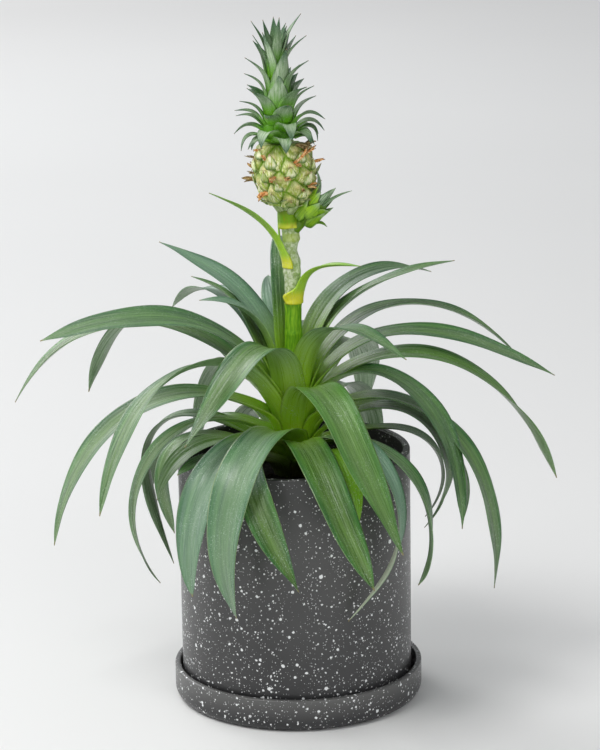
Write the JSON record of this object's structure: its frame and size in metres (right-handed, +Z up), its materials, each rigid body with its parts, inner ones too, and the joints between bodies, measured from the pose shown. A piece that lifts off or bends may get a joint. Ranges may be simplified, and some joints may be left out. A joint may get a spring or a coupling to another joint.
{
  "type": "potted pineapple plant",
  "caption": "Ornamental pineapple plant with arching strap leaves and a small crowned fruit on its stalk, rooted in a speckled stoneware pot that stands in a matching saucer.",
  "frame": {"origin": "centre of the saucer's underside, on the surface that it stands on", "axes": "+Z up along the pot's axis; -Y is the front, where the slip and the widest leaves show; +X is to the right seen from the front"},
  "size_m": [0.3282, 0.2674, 0.4124],
  "materials": {
    "stoneware": "satin dark grey with white speckles",
    "soil": "matte, crumbly",
    "stem": "satin",
    "leaf": "satin with a silvery bloom",
    "stalk_leaf": "satin",
    "fruit": "satin, knobbly",
    "crown": "satin with a grey bloom",
    "slip": "satin"
  },
  "bodies": {
    "root": {"saucer": "stoneware", "pot": "stoneware", "soil": "soil", "stem": "stem", "fruit": "fruit", "crown": "crown", "slip": "slip", "stalk_leaf_01": "stalk_leaf", "stalk_leaf_02": "stalk_leaf", "stalk_leaf_03": "stalk_leaf", "stalk_leaf_04": "stalk_leaf", "upper_leaf_01": "leaf", "upper_leaf_02": "leaf", "upper_leaf_03": "leaf", "upper_leaf_04": "leaf", "upper_leaf_05": "leaf", "upper_leaf_06": "leaf", "upper_leaf_07": "leaf", "upper_leaf_08": "leaf", "middle_leaf_01": "leaf", "middle_leaf_02": "leaf", "middle_leaf_03": "leaf", "middle_leaf_04": "leaf", "middle_leaf_05": "leaf", "middle_leaf_06": "leaf", "middle_leaf_07": "leaf", "middle_leaf_08": "leaf", "middle_leaf_09": "leaf", "middle_leaf_10": "leaf", "middle_leaf_11": "leaf", "middle_leaf_12": "leaf", "middle_leaf_13": "leaf", "middle_leaf_14": "leaf", "middle_leaf_15": "leaf", "middle_leaf_16": "leaf", "middle_leaf_17": "leaf", "lower_leaf_01": "leaf", "lower_leaf_02": "leaf", "lower_leaf_03": "leaf", "lower_leaf_04": "leaf", "lower_leaf_05": "leaf", "lower_leaf_06": "leaf", "lower_leaf_07": "leaf", "lower_leaf_08": "leaf", "lower_leaf_09": "leaf", "lower_leaf_10": "leaf", "lower_leaf_11": "leaf", "lower_leaf_12": "leaf", "lower_leaf_13": "leaf", "lower_leaf_14": "leaf", "lower_leaf_15": "leaf", "lower_leaf_16": "leaf", "lower_leaf_17": "leaf", "lower_leaf_18": "leaf"}
  },
  "joints": []
}
